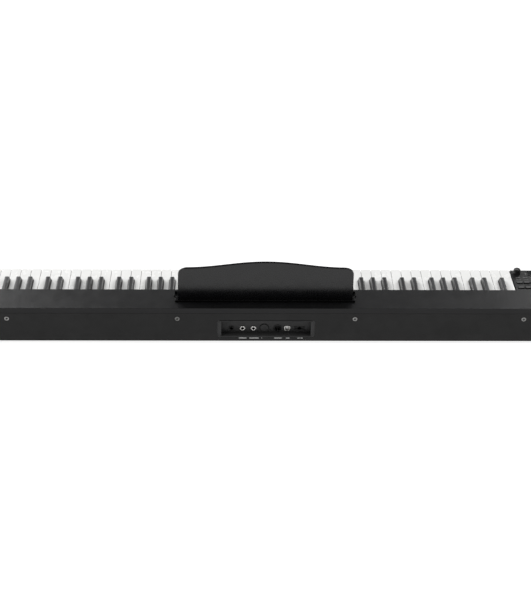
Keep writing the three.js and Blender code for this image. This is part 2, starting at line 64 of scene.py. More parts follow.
def makeCamera():
    down, turn, roll = (math.radians(cameraSet[key]) for key in ("down", "turn", "roll"))
    forward = Vector((math.sin(turn) * math.cos(down), -math.cos(turn) * math.cos(down), -math.sin(down)))
    level = forward.cross(Vector((0, 0, 1))).normalized()
    upright = level.cross(forward)
    right = math.cos(roll) * level + math.sin(roll) * upright
    up = math.cos(roll) * upright - math.sin(roll) * level
    data = bpy.data.cameras.new("camera")
    data.lens = cameraSet["lens"]
    data.sensor_width = 36
    data.clip_end = 100
    camera = bpy.data.objects.new("camera", data)
    bpy.context.scene.collection.objects.link(camera)
    turned = Matrix((right, up, -forward)).transposed().to_4x4()
    camera.matrix_world = Matrix.Translation(intoFrame @ Vector(cameraSet["place"])) @ turned
    bpy.context.scene.camera = camera


makeCamera()
print("camera made")

# materials


def newMaterial(name):
    material = bpy.data.materials.new(name)
    material.use_nodes = True
    nodes = material.node_tree.nodes
    return material, nodes, material.node_tree.links, nodes["Principled BSDF"]


# the part of a noise's range that is spread over a finish
noiseSpan = (0.3, 0.7)


def grain(nodes, links, scale, stretch=(1, 1, 1), detail=2.0):
    coordinates = nodes.new("ShaderNodeTexCoord")
    mapping = nodes.new("ShaderNodeMapping")
    mapping.inputs["Scale"].default_value = stretch
    noise = nodes.new("ShaderNodeTexNoise")
    noise.inputs["Scale"].default_value = scale
    noise.inputs["Detail"].default_value = detail
    links.new(coordinates.outputs["Object"], mapping.inputs["Vector"])
    links.new(mapping.outputs["Vector"], noise.inputs["Vector"])
    return noise.outputs["Fac"]


def between(nodes, links, source, low, high):
    spread = nodes.new("ShaderNodeMapRange")
    start, end = noiseSpan
    for key, value in (("From Min", start), ("From Max", end), ("To Min", low), ("To Max", high)):
        spread.inputs[key].default_value = value
    links.new(source, spread.inputs["Value"])
    return spread.outputs["Result"]


def tint(nodes, links, source, dark, light):
    ramp = nodes.new("ShaderNodeValToRGB")
    for stop, position, colour in zip(ramp.color_ramp.elements, noiseSpan, (dark, light)):
        stop.position = position
        stop.color = (*colour, 1)
    links.new(source, ramp.inputs["Fac"])
    return ramp.outputs["Color"]


def relief(nodes, links, shader, source, depth):
    bump = nodes.new("ShaderNodeBump")
    bump.inputs["Strength"].default_value = 1.0
    bump.inputs["Distance"].default_value = depth
    links.new(source, bump.inputs["Height"])
    links.new(bump.outputs["Normal"], shader.inputs["Normal"])


finishes = {
    "satinPaint": {"dark": (0.0080, 0.0080, 0.0084), "light": (0.0105, 0.0105, 0.011), "rough": (0.30, 0.38),
                   "grain": 1600, "depth": 0.00003, "gloss": 0.20},
    "caseMoulding": {"dark": (0.0085, 0.0085, 0.0085), "light": (0.0115, 0.0115, 0.0115),
                     "rough": (0.48, 0.60), "grain": 1100, "depth": 0.00007, "gloss": 0.22},
    # the recess plastic is a paler plastic whose colour is raised further as painted fill light, lifting the
    # shade inside the recess
    "recessPlastic": {"dark": (0.024, 0.024, 0.0245), "light": (0.031, 0.031, 0.0315), "rough": (0.46, 0.58),
                      "grain": 1300, "depth": 0.00006, "gloss": 0.3},
    "darkPlastic": {"dark": (0.005, 0.005, 0.0055), "light": (0.008, 0.008, 0.0085), "rough": (0.36, 0.48),
                    "grain": 1500, "depth": 0.00004, "gloss": 0.3},
    "pianoBlack": {"dark": (0.0025, 0.0025, 0.003), "light": (0.004, 0.004, 0.0045), "rough": (0.24, 0.30),
                   "grain": 240, "depth": 0.000004, "gloss": 0.30},
    "shelfBlack": {"dark": (0.0016, 0.0016, 0.0018), "light": (0.0028, 0.0028, 0.0031), "rough": (0.36, 0.46),
                   "grain": 500, "depth": 0.00001, "gloss": 0.07},
    "ivoryWhite": {"dark": (0.70, 0.70, 0.688), "light": (0.76, 0.76, 0.75), "rough": (0.20, 0.30),
                   "grain": 420, "depth": 0.000008, "gloss": 0.45},
    "ebonyBlack": {"dark": (0.010, 0.010, 0.0105), "light": (0.019, 0.019, 0.020), "rough": (0.30, 0.42),
                   "grain": 1500, "depth": 0.00004, "gloss": 0.5, "stretch": (1, 0.12, 1)},
    "softRubber": {"dark": (0.006, 0.006, 0.0065), "light": (0.012, 0.012, 0.0125), "rough": (0.5, 0.66),
                   "grain": 2200, "depth": 0.00005, "gloss": 0.25},
    "knobSkin": {"dark": (0.005, 0.005, 0.005), "light": (0.009, 0.009, 0.0095), "rough": (0.38, 0.52),
                 "grain": 2600, "depth": 0.00003, "gloss": 0.3},
    "nickelPlate": {"dark": (0.55, 0.54, 0.52), "light": (0.72, 0.71, 0.69), "rough": (0.16, 0.30),
                    "grain": 1800, "depth": 0.00001, "gloss": 0.5, "metal": 1.0, "stretch": (1, 6, 1)},
    "screwSteel": {"dark": (0.17, 0.17, 0.165), "light": (0.31, 0.305, 0.30), "rough": (0.24, 0.40),
                   "grain": 1800, "depth": 0.00002, "gloss": 0.5, "metal": 1.0, "stretch": (1, 1, 4)},
    "shadowBlack": {"dark": (0.0012, 0.0012, 0.0012), "light": (0.003, 0.003, 0.003), "rough": (0.6, 0.8),
                    "grain": 1400, "depth": 0.00003, "gloss": 0.1},
    "smokeLens": {"dark": (0.002, 0.0025, 0.003), "light": (0.004, 0.005, 0.006), "rough": (0.04, 0.09),
                  "grain": 90, "depth": 0.000003, "gloss": 0.4},
    "feltCloth": {"dark": (0.16, 0.008, 0.012), "light": (0.34, 0.020, 0.026), "rough": (0.85, 1.0),
                  "grain": 2400, "depth": 0.0004, "gloss": 0.1},
    "greyFrame": {"dark": (0.085, 0.088, 0.092), "light": (0.12, 0.124, 0.13), "rough": (0.5, 0.65),
                  "grain": 1300, "depth": 0.00006, "gloss": 0.4},
    "paperPulp": {"dark": (0.018, 0.017, 0.015), "light": (0.042, 0.039, 0.034), "rough": (0.8, 0.95),
                  "grain": 900, "depth": 0.0002, "gloss": 0.2},
    "inkWhite": {"dark": (0.42, 0.42, 0.42), "light": (0.60, 0.60, 0.59), "rough": (0.5, 0.65),
                 "grain": 2600, "depth": 0.00002, "gloss": 0.3},
    # grey ink for the printed deck marks and the knob's pointer; the light bar on each button's dish uses it
    # as a painted highlight
    "inkGrey": {"dark": (0.10, 0.10, 0.10), "light": (0.16, 0.16, 0.16), "rough": (0.5, 0.65),
                "grain": 2600, "depth": 0.00002, "gloss": 0.3},
}


# every finish also varies slowly in colour and in roughness
cloudScale = 14.0
smearScale = 60.0


def makeFinish(name):
    look = finishes[name]
    material, nodes, links, shader = newMaterial(name)
    fine = grain(nodes, links, look["grain"], look.get("stretch", (1, 1, 1)), 3.0)
    cloud = grain(nodes, links, cloudScale, detail=3.0)
    smear = grain(nodes, links, smearScale, (1, 0.5, 1))
    links.new(tint(nodes, links, cloud, look["dark"], look["light"]), shader.inputs["Base Color"])
    links.new(between(nodes, links, smear, *look["rough"]), shader.inputs["Roughness"])
    shader.inputs["Metallic"].default_value = look.get("metal", 0.0)
    shader.inputs["Specular IOR Level"].default_value = look["gloss"]
    relief(nodes, links, shader, fine, look["depth"])
    return material


materials = {name: makeFinish(name) for name in finishes}


circuitSet = {
    "scale": 60, "gap": 0.08, "rough": 0.35, "depth": 0.00003,
    "Color1": (0.010, 0.070, 0.028), "Color2": (0.014, 0.090, 0.036), "Mortar": (0.030, 0.150, 0.060),
}


def makeCircuit():
    material, nodes, links, shader = newMaterial("circuitLaminate")
    coordinates = nodes.new("ShaderNodeTexCoord")
    tracks = nodes.new("ShaderNodeTexBrick")
    tracks.inputs["Scale"].default_value = circuitSet["scale"]
    tracks.inputs["Mortar Size"].default_value = circuitSet["gap"]
    for colour in ("Color1", "Color2", "Mortar"):
        tracks.inputs[colour].default_value = (*circuitSet[colour], 1)
    links.new(coordinates.outputs["Object"], tracks.inputs["Vector"])
    links.new(tracks.outputs["Color"], shader.inputs["Base Color"])
    shader.inputs["Roughness"].default_value = circuitSet["rough"]
    relief(nodes, links, shader, tracks.outputs["Fac"], circuitSet["depth"])
    return material


materials["circuitLaminate"] = makeCircuit()
print("materials made", len(materials))

# shaping helpers


slack = 0.01                      # coordinates closer than this are the same
joinGap = 0.0005                  # points closer than this are joined
facing = 0.9                      # how much of a face's normal lies along the axis that it faces
sharpAngle = math.radians(50)     # edges that turn further than this are softened
smoothAngle = math.radians(32)    # edges that turn further than this are shaded sharp


def block(bm, low, high):
    size = Vector(high) - Vector(low)
    middle = (Vector(high) + Vector(low)) / 2
    place = Matrix.Translation(middle) @ Matrix.Diagonal((*size, 1))
    return bmesh.ops.create_cube(bm, size=1, matrix=place)["verts"]


def outline(bm, points):
    return bm.faces.new([bm.verts.new(point) for point in points])


def rectangle(bm, low, high, z):
    corners = ((low[0], low[1]), (high[0], low[1]), (high[0], high[1]), (low[0], high[1]))
    return outline(bm, [(x, y, z) for x, y in corners])


def vertsOf(geometry):
    return [item for item in geometry if isinstance(item, bmesh.types.BMVert)]


def facesOf(geometry):
    return [item for item in geometry if isinstance(item, bmesh.types.BMFace)]


def vertsOn(faces):
    return list({vert for face in faces for vert in face.verts})


def edgesAt(verts):
    return list({edge for vert in verts for edge in vert.link_edges})


def paint(verts, number):
    for face in {face for vert in verts for face in vert.link_faces}:
        face.material_index = number


def drawOut(bm, faces, step):
    made = bmesh.ops.extrude_face_region(bm, geom=faces)["geom"]
    bmesh.ops.translate(bm, vec=step, verts=vertsOf(made))
    bmesh.ops.delete(bm, geom=[face for face in faces if face.is_valid], context="FACES_ONLY")
    return facesOf(made)


def drawOutKeeping(bm, faces, step):
    # raises a copy of the faces and keeps the first ones as the far side
    made = bmesh.ops.extrude_face_region(bm, geom=faces, use_keep_orig=True)["geom"]
    bmesh.ops.translate(bm, vec=step, verts=vertsOf(made))


def soften(bm, edges, width, segments):
    bmesh.ops.bevel(bm, geom=edges, offset=width, offset_type="OFFSET", segments=segments, profile=0.5,
                    affect="EDGES", material=-1, clamp_overlap=True)


def edgesWhere(bm, test):
    return [edge for edge in bm.edges if test(*(vert.co for vert in edge.verts))]


def isLevel(a, b):
    return abs(a.z - b.z) < slack


def isUpright(a, b):
    return abs(a.z - b.z) > 1


def facesUp(bm, height):
    # the faces at this height that look up
    bm.normal_update()
    return [face for face in bm.faces
            if face.normal.z > facing and abs(face.calc_center_median().z - height) < slack]


def softenSharp(bm, width):
    bm.normal_update()
    sharp = [edge for edge in bm.edges if edge.is_manifold and edge.calc_face_angle(0) > sharpAngle]
    soften(bm, sharp, width, segments=2)


def turned(bm, profile, steps=32, ring=False):
    # a closed solid of revolution about Z from (radius, height) points
    verts = [bm.verts.new((radius, 0, height)) for radius, height in profile]
    edges = [bm.edges.new(pair) for pair in zip(verts, verts[1:])]
    if ring:
        edges.append(bm.edges.new((verts[-1], verts[0])))
    bmesh.ops.spin(bm, geom=verts + edges, cent=(0, 0, 0), axis=(0, 0, 1), angle=math.tau, steps=steps,
                   use_merge=True)
    bmesh.ops.remove_doubles(bm, verts=bm.verts, dist=joinGap)
    bmesh.ops.recalc_face_normals(bm, faces=bm.faces)


facingBack = Matrix.Rotation(-math.pi / 2, 4, "X")   # turns +Z to the back of the piano


def addPiece(name, bm, material, body, replaced=()):
    bmesh.ops.remove_doubles(bm, verts=bm.verts, dist=joinGap)
    bmesh.ops.recalc_face_normals(bm, faces=bm.faces)
    bmesh.ops.transform(bm, matrix=intoFrame, verts=bm.verts)
    assert len(bm.faces) > 5, name   # an empty piece would go unseen
    mesh = bpy.data.meshes.new(name)
    bm.to_mesh(mesh)
    bm.free()
    for finish in (material,) if isinstance(material, str) else material:
        mesh.materials.append(materials[finish])
    mesh.shade_smooth()
    mesh.set_sharp_from_angle(angle=smoothAngle)
    piece = bpy.data.objects.new(name, mesh)
    bpy.context.scene.collection.objects.link(piece)
    even = piece.modifiers.new("evenShading", "WEIGHTED_NORMAL")
    even.keep_sharp = True
    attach(piece, body)
    if replaced:
        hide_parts(*replaced)


# the 88 keys
keySet = {
    "count": 88, "firstStep": 9,   # the lowest key is an A
    "pitch": 23.5, "gap": 1.0, "bottom": -18.0, "bodyEnd": 156.0, "tailEnd": 176.0, "tailTop": -11.0,
    "lip": 1.3, "lipThick": 3.2, "edge": 0.9,
    "sharpHalf": 6.3, "sharpTopHalf": 4.7, "sharpFront": 50.5, "sharpSlope": 6.0, "sharpFoot": 1.5,
    "sharpTop": 11.5, "sharpBottom": -14.0, "sharpTailTop": -3.0, "sharpTailBottom": -9.5, "sharpEdge": 1.7,
    "shift": {1: -2.3, 3: 2.3, 6: -3.5, 8: 0.0, 10: 3.5},
    "middleOctave": 4,
}
noteNames = ("c", "c_sharp", "d", "d_sharp", "e", "f", "f_sharp", "g", "g_sharp", "a", "a_sharp", "b")


def keyPlaces():
    look = keySet
    places = []
    edge = nodeBox("naturals_bass")[0].x - look["gap"] / 2
    for index in range(look["count"]):
        octave, step = divmod(index + look["firstStep"], len(noteNames))
        sharp = step in look["shift"]
        note = f"{noteNames[step]}{octave}"
        body = f"key_{note}"
        if octave != look["middleOctave"]:
            bank = "bass" if octave < look["middleOctave"] else "treble"
            body = f"{'sharps' if sharp else 'naturals'}_{bank}"
        centre = edge + (look["shift"][step] if sharp else look["pitch"] / 2)
        places.append({"note": note, "sharp": sharp, "centre": centre, "body": body})
        if not sharp:
            edge += look["pitch"]
    return places


def naturalShape(key, below, above):
    look = keySet
    half = (look["pitch"] - look["gap"]) / 2
    left, right = key["centre"] - half, key["centre"] + half
    slotHalf = look["sharpHalf"] + look["gap"]
    head = look["sharpFront"] - look["gap"]
    tailLeft = below["centre"] + slotHalf if below and below["sharp"] else left
    tailRight = above["centre"] - slotHalf if above and above["sharp"] else right
    plan = [(left, look["lip"]), (right, look["lip"])]
    if tailRight < right:
        plan += [(right, head), (tailRight, head)]
    plan += [(tailRight, look["bodyEnd"]), (tailLeft, look["bodyEnd"])]
    if tailLeft > left:
        plan += [(tailLeft, head), (left, head)]
    bm = bmesh.new()
    base = outline(bm, [(x, y, look["bottom"]) for x, y in plan])
    under = -look["lipThick"] - look["lip"]
    raised = bmesh.ops.extrude_face_region(bm, geom=[base])["geom"]
    bmesh.ops.translate(bm, vec=(0, 0, look["tailTop"] - look["bottom"]), verts=vertsOf(raised))
    raised = drawOut(bm, facesOf(raised), (0, 0, under - look["tailTop"]))
    raised = drawOut(bm, raised, (0, 0, look["lip"]))
    for vert in vertsOn(raised):
        if vert.co.y < look["lip"] + slack:
            vert.co.y = 0
    raised = drawOut(bm, raised, (0, 0, look["lipThick"]))
    bm.normal_update()
    rear = [face for face in bm.faces if face.normal.y > facing and face.calc_center_median().y > head + slack
            and face.calc_center_median().z < look["tailTop"]]
    drawOut(bm, rear, (0, look["tailEnd"] - look["bodyEnd"], 0))
    rim = edgesWhere(bm, lambda a, b: min(a.z, b.z) > -slack)
    corners = edgesWhere(bm, lambda a, b: max(a.y, b.y) < slack and isUpright(a, b))
    soften(bm, rim + corners, look["edge"], segments=3)
    return bm


def sharpShape(key):
    look = keySet
    x, half = key["centre"], look["sharpHalf"]
    bm = bmesh.new()
    front, back = look["sharpFront"], look["bodyEnd"]
    base = rectangle(bm, (x - half, front), (x + half, back), look["sharpBottom"])
    raised = bmesh.ops.extrude_face_region(bm, geom=[base])["geom"]
    bmesh.ops.translate(bm, vec=(0, 0, look["sharpTailBottom"] - look["sharpBottom"]), verts=vertsOf(raised))
    raised = facesOf(raised)
    for level in (look["sharpTailTop"], look["sharpFoot"], look["sharpTop"]):
        raised = drawOut(bm, raised, (0, 0, level - raised[0].calc_center_median().z))
    for vert in raised[0].verts:
        vert.co.x = x + math.copysign(look["sharpTopHalf"], vert.co.x - x)
        vert.co.y += math.copysign(look["sharpSlope"], (front + back) / 2 - vert.co.y)
    bm.normal_update()
    rear = [face for face in bm.faces if face.normal.y > facing
            and look["sharpTailBottom"] < face.calc_center_median().z < look["sharpTailTop"]]
    drawOut(bm, rear, (0, look["tailEnd"] - look["bodyEnd"], 0))
    crown = edgesWhere(bm, lambda a, b: max(a.z, b.z) > look["sharpTop"] - slack)
    soften(bm, crown, look["sharpEdge"], segments=4)
    return bm


def makeKeys():
    places = keyPlaces()
    stoodFor = set()
    for below, key, above in zip([None] + places, places, places[1:] + [None]):
        if key["sharp"]:
            bm, material, slotName = sharpShape(key), "ebonyBlack", "black_key"
        else:
            bm, material, slotName = naturalShape(key, below, above), "ivoryWhite", "white_key"
        replaced = () if key["body"] in stoodFor else (key["body"],)
        stoodFor.add(key["body"])
        addPiece(f"playing_key_{key['note']}", bm, material, key["body"], replaced)


makeKeys()
print("keys made")

# music rest
restSet = {
    "lean": 22.0, "thick": 5.0, "half": 195.3, "topHalf": 192.3, "mean": 121.0, "edge": 0.9,
    "wave": 10.0, "waveHalf": 175.0, "waveSteps": 36, "corner": 21.0, "cornerSteps": 8,
    "plateHalf": 205.0, "neckHalf": 199.5, "footHalf": 201.5, "tipY": 9.0, "neckY": 15.0, "footY": 25.0,
    "plateThick": 4.2, "plateCorner": 2.2, "plateEdge": 1.0, "gap": 0.3,
    "lipThick": 3.0, "lipRise": 6.0, "lipEnd": 2.0, "lipFront": 0.5, "lipEdge": 1.2,
    "pegX": 150.0, "pegHalf": 15.0, "pegY": 18.0, "pegThick": 5.0, "pegEdge": 1.0,
}


def restOutline():
    look = restSet
    radius, steps = look["corner"], look["cornerSteps"]
    cornerX = look["topHalf"] - radius

    def crest(x):
        return look["mean"] + look["wave"] * math.cos(math.pi * x / look["waveHalf"])

    def corner(x, quarter):
        angles = [math.pi / 2 * (quarter + step / steps) for step in range(steps + 1)]
        centreY = crest(cornerX) - radius
        return [(x + radius * math.cos(angle), centreY + radius * math.sin(angle)) for angle in angles]

    waveX = [cornerX * (1 - 2 * step / look["waveSteps"]) for step in range(1, look["waveSteps"])]
    top = corner(cornerX, 0) + [(x, crest(x)) for x in waveX] + corner(-cornerX, 1)
    return [(-look["half"], 0), (look["half"], 0)] + top


def makeRestPanel():
    low, high = nodeBox("rest_panel")
    lean = math.radians(restSet["lean"])
    bm = bmesh.new()
    face = outline(bm, [(x, y, 0) for x, y in restOutline()])
    raised = bmesh.ops.extrude_face_region(bm, geom=[face])["geom"]
    bmesh.ops.translate(bm, vec=(0, 0, restSet["thick"]), verts=vertsOf(raised))
    soften(bm, edgesWhere(bm, isLevel), restSet["edge"], segments=3)
    middle = (low.x + high.x) / 2
    place = Matrix.Translation((middle, low.y + restSet["thick"] * math.cos(lean), low.z))
    bmesh.ops.transform(bm, matrix=place @ Matrix.Rotation(math.pi / 2 - lean, 4, "X"), verts=bm.verts)
    addPiece("music_rest_panel", bm, "pianoBlack", "music_rest", ("rest_panel",))


def makeRestShelf():
    look = restSet
    low, high = nodeBox("rest_ledge")
    middle, front, rear = (low.x + high.x) / 2, low.y, high.y
    plateTop = nodeBox("rest_panel")[0].z - look["gap"]
    plateLow = plateTop - look["plateThick"]
    half = [(look["plateHalf"], 0), (look["plateHalf"], look["tipY"]), (look["neckHalf"], look["neckY"]),
            (look["footHalf"], look["footY"]), (look["footHalf"], rear - front)]
    plan = half + [(-x, y) for x, y in reversed(half)]
    bm = bmesh.new()
    base = outline(bm, [(middle + x, front + y, plateLow) for x, y in plan])
    drawOutKeeping(bm, [base], (0, 0, look["plateThick"]))
    bm.normal_update()
    soften(bm, edgesWhere(bm, isUpright), look["plateCorner"], segments=4)
    rims = edgesWhere(bm, lambda a, b: isLevel(a, b) and abs(a.z - plateTop) < slack)
    soften(bm, rims, look["plateEdge"], segments=3)
    lipHalf, lipFront = look["plateHalf"] - look["lipEnd"], front + look["lipFront"]
    lip = block(bm, (middle - lipHalf, lipFront, plateTop),
                (middle + lipHalf, lipFront + look["lipThick"], plateTop + look["lipRise"]))
    lipEdges = [edge for edge in edgesAt(lip) if max(vert.co.z for vert in edge.verts) > plateTop + slack]
    soften(bm, lipEdges, look["lipEdge"], segments=3)
    for side in (-1, 1):
        x = middle + side * look["pegX"]
        y = front + look["pegY"]
        peg = block(bm, (x - look["pegHalf"], y - look["pegThick"] / 2, low.z),
                    (x + look["pegHalf"], y + look["pegThick"] / 2, plateLow))
        tips = [vert for vert in peg if vert.co.z < low.z + slack]
        soften(bm, edgesAt(tips), look["pegEdge"], segments=2)
    addPiece("music_rest_shelf", bm, "shelfBlack", "music_rest", ("rest_ledge",))


makeRestPanel()
makeRestShelf()
print("music rest made")

# back screws
screwSet = {
    "head": 5.2, "rim": 4.3, "thick": 1.1, "dome": 0.45, "sides": 24, "shank": 1.7, "shankEnd": -10.5,
    "cross": 3.0, "waist": 1.4, "spread": 19.0, "sink": 0.9, "taper": 0.8, "turn": 20.0,
}


def makeScrew(name, node):
    look = screwSet
    low, high = nodeBox(node)
    bm = bmesh.new()
    arm = ((-look["spread"], look["cross"]), (look["spread"], look["cross"]), (45, look["waist"]))
    crossPoints = []
    for quarter in range(4):
        for degrees, radius in arm:
            angle = math.radians(quarter * 90 + degrees)
            crossPoints.append((radius * math.cos(angle), radius * math.sin(angle), 0))
    pit = outline(bm, crossPoints)
    mouth = list(pit.edges)
    sunk = vertsOf(bmesh.ops.extrude_face_region(bm, geom=[pit])["geom"])
    bmesh.ops.translate(bm, vec=(0, 0, -look["sink"]), verts=sunk)
    bmesh.ops.scale(bm, vec=(look["taper"], look["taper"], 1), verts=sunk)
    bmesh.ops.delete(bm, geom=[pit], context="FACES_ONLY")
    pitFaces = set(bm.faces)
    rings = [mouth]
    for radius, height in ((look["rim"], 0.0), (look["head"], -look["dome"]), (look["head"], -look["thick"]),
                           (look["shank"], -look["thick"]), (look["shank"], look["shankEnd"])):
        ring = bmesh.ops.create_circle(bm, segments=look["sides"], radius=radius,
                                       matrix=Matrix.Translation((0, 0, height)))["verts"]
        rings.append(edgesAt(ring))
    for inner, outer in zip(rings, rings[1:]):
        bmesh.ops.bridge_loops(bm, edges=inner + outer)
    bmesh.ops.holes_fill(bm, edges=rings[-1], sides=0)
    for face in bm.faces:
        face.material_index = 1 if face in pitFaces else 0
    place = Matrix.Translation(((low.x + high.x) / 2, high.y, (low.z + high.z) / 2)) @ facingBack
    turn = Matrix.Rotation(math.radians(look["turn"]), 4, "Z")
    bmesh.ops.transform(bm, matrix=place @ turn, verts=bm.verts)
    addPiece(name, bm, ("screwSteel", "shadowBlack"), "piano_body", (node,))


for number in range(1, 5):
    makeScrew(f"case_screw_{number}", f"back_screw_{number}")
print("screws made")

# sockets on the recessed plate; heights are measured from the face of the plate
socketSet = {
    "plate": 16.5,           # how far the plate lies behind the recess's own front face
    "phone": {"body": 6.9, "deep": -19.2, "shoulder": -2.4, "neck": 5.4, "front": 2.4, "bore": 3.3,
              "boreEnd": -16.8, "chamfer": 0.5, "flare": 0.7,
              "nut": 6.6, "nutFit": 0.1, "nutTop": 1.9, "nutCut": 0.4, "nutSides": 6},
    "midi": {"flange": 9.5, "rise": 1.0, "shoulder": -2.4, "edge": 0.4, "flare": 0.3, "sides": 40,
             "mouth": 7.2, "floor": -8.0, "body": 9.4, "deep": -19.0, "pins": 5, "pinStep": 45,
             "pin": 0.75, "pinWall": 0.45, "pinRing": 3.6, "pinTop": -7.2,
             "key": (1.3, 1.9), "keyProud": 0.1},
    "usb": {"half": (6.6, 6.0), "wall": 1.15, "rise": 1.2, "floor": -9.0, "deep": -19.0, "cut": 2.2,
            "edge": 0.25, "tongue": (3.4, 2.6), "tongueTop": -2.4},
    "dc": {"half": (12.0, 4.5), "rise": 0.6, "corner": 3.2, "edge": 0.3, "mouth": 3.5, "floor": -9.0,
           "deep": -19.0, "pin": 0.9, "pinTop": -5.0, "slot": (2.6, 0.7), "slotX": (6.6, -6.6),
           "slotRise": 0.5},
}


def socketPlace(node):
    low, high = nodeBox(node)
    face = nodeBox("jack_recess")[1].y - socketSet["plate"]
    return Matrix.Translation(((low.x + high.x) / 2, face, (low.z + high.z) / 2)) @ facingBack


def makePhoneSocket(name, node, finish):
    look = socketSet["phone"]
    bm = bmesh.new()
    body, neck, bore = look["body"], look["neck"], look["bore"]
    front, chamfer, flare = look["front"], look["chamfer"], look["flare"]
    turned(bm, [(0, look["deep"]), (body, look["deep"]), (body, look["shoulder"]), (neck, look["shoulder"]),
                (neck, front - chamfer), (neck - chamfer, front), (bore + flare, front),
                (bore, front - flare), (bore, look["boreEnd"]), (0, look["boreEnd"])])
    for face in bm.faces:
        middle = face.calc_center_median()
        if math.hypot(middle.x, middle.y) < bore + slack:
            face.material_index = 1
    inner, outer, foot, top = neck - look["nutFit"], look["nut"], look["nutFit"], look["nutTop"]
    nut = [(inner, foot), (outer, foot), (outer, top - look["nutCut"]), (outer - chamfer, top), (inner, top)]
    turned(bm, nut, look["nutSides"], ring=True)
    bmesh.ops.transform(bm, matrix=socketPlace(node), verts=bm.verts)
    addPiece(name, bm, (finish, "shadowBlack"), "piano_body", (node,))


def makeMidiSocket():
    look = socketSet["midi"]
    flange, mouth, rise, floor = look["flange"], look["mouth"], look["rise"], look["floor"]
    bm = bmesh.new()
    turned(bm, [(0, look["deep"]), (look["body"], look["deep"]), (look["body"], look["shoulder"]),
                (flange, look["shoulder"]), (flange, rise - look["edge"]), (flange - look["edge"], rise),
                (mouth + look["flare"], rise), (mouth, rise - look["flare"]), (mouth, floor), (0, floor)],
           look["sides"])
    pin, pinOuter, pinTop = look["pin"], look["pin"] + look["pinWall"], look["pinTop"]
    for number in range(look["pins"]):
        angle = math.radians(number * look["pinStep"] + 180)
        old = set(bm.verts)
        turned(bm, [(pin, floor), (pinOuter, floor), (pinOuter, pinTop), (pin, pinTop)], 12, ring=True)
        place = (look["pinRing"] * math.cos(angle), look["pinRing"] * math.sin(angle), 0)
        bmesh.ops.translate(bm, vec=place, verts=list(set(bm.verts) - old))
    keyHalf, keyThick = look["key"]
    key = block(bm, (-keyHalf, mouth - keyThick, floor), (keyHalf, mouth, rise + look["keyProud"]))
    paint(key, 1)
    bmesh.ops.transform(bm, matrix=socketPlace("midi_socket"), verts=bm.verts)
    addPiece("midi_port", bm, ("darkPlastic", "nickelPlate"), "piano_body", ("midi_socket",))


def boxed(bm, half, low, high, cut=0.0):
    # a block on the axis; the cut takes off the two uprights on its lower side
    base = rectangle(bm, (-half[0], -half[1]), half, low)
    drawOutKeeping(bm, [base], (0, 0, high - low))
    if cut:
        soften(bm, edgesWhere(bm, lambda a, b: isUpright(a, b) and a.y < 0), cut, segments=1)


def hollowed(bm, height, wall, floor):
    # sinks the face at this height, leaving a wall round it
    top = facesUp(bm, height)
    bmesh.ops.inset_region(bm, faces=top, thickness=wall, use_even_offset=True)
    drawOut(bm, top, (0, 0, floor - height))


def makeUsbSocket():
    look = socketSet["usb"]
    bm = bmesh.new()
    boxed(bm, look["half"], look["deep"], look["rise"], look["cut"])
    hollowed(bm, look["rise"], look["wall"], look["floor"])
    softenSharp(bm, look["edge"])
    width, height = look["tongue"]
    tongue = block(bm, (-width, -height, look["floor"]), (width, height, look["tongueTop"]))
    paint(tongue, 1)
    bmesh.ops.transform(bm, matrix=socketPlace("usb_socket"), verts=bm.verts)
    addPiece("usb_port", bm, ("nickelPlate", "ivoryWhite"), "piano_body", ("usb_socket",))


def makePowerInlet():
    look = socketSet["dc"]
    bm = bmesh.new()
    boxed(bm, look["half"], look["deep"], look["rise"])
    soften(bm, edgesWhere(bm, isUpright), look["corner"], segments=5)
    bmesh.ops.delete(bm, geom=facesUp(bm, look["rise"]), context="FACES_ONLY")
    rim = [edge for edge in bm.edges if edge.is_boundary]
    mouth = bmesh.ops.create_circle(bm, segments=24, radius=look["mouth"],
                                    matrix=Matrix.Translation((0, 0, look["rise"])))["verts"]
    mouthEdges = edgesAt(mouth)
    bmesh.ops.bridge_loops(bm, edges=rim + mouthEdges)
    deep = bmesh.ops.extrude_edge_only(bm, edges=mouthEdges)["geom"]
    bmesh.ops.translate(bm, vec=(0, 0, look["floor"] - look["rise"]), verts=vertsOf(deep))
    bmesh.ops.holes_fill(bm, edges=[item for item in deep if isinstance(item, bmesh.types.BMEdge)], sides=0)
    softenSharp(bm, look["edge"])
    pin = bmesh.ops.create_cone(bm, cap_ends=True, segments=14, radius1=look["pin"], radius2=look["pin"],
                                depth=look["pinTop"] - look["floor"],
                                matrix=Matrix.Translation((0, 0, (look["pinTop"] + look["floor"]) / 2)))
    paint(pin["verts"], 1)
    slotHalf, slotThin = look["slot"]
    for x in look["slotX"]:
        slot = block(bm, (x - slotHalf, -slotThin, look["rise"]),
                     (x + slotHalf, slotThin, look["rise"] + look["slotRise"]))
        paint(slot, 2)
    bmesh.ops.transform(bm, matrix=socketPlace("dc_inlet"), verts=bm.verts)
    addPiece("power_inlet", bm, ("darkPlastic", "nickelPlate", "shadowBlack"), "piano_body",
             ("dc_inlet",))


makePhoneSocket("pedal_socket", "pedal_jack", "darkPlastic")
makePhoneSocket("phone_socket_1", "phone_jack_1", "nickelPlate")
makePhoneSocket("phone_socket_2", "phone_jack_2", "nickelPlate")
makeMidiSocket()
makeUsbSocket()
makePowerInlet()
print("sockets made")

# chamfered trim round the recess
trimSet = {
    "half": 110.3, "low": -44.0, "high": 0.1, "radius": 8.8, "width": 2.1, "topWidth": 3.7,
    "inset": 3.0, "proud": 2.7, "shade": -2.6, "cornerSteps": 8,
}


def roundedLoop(bm, half, low, high, radius, y):
    points = []
    for x, z, start in ((half, high, 0), (-half, high, 90), (-half, low, 180), (half, low, 270)):
        centreX, centreZ = x - math.copysign(radius, x), z - radius if z == high else z + radius
        for step in range(trimSet["cornerSteps"] + 1):
            angle = math.radians(start + 90 * step / trimSet["cornerSteps"])
            points.append((centreX + radius * math.cos(angle), y, centreZ + radius * math.sin(angle)))
    return [bm.verts.new(point) for point in points]


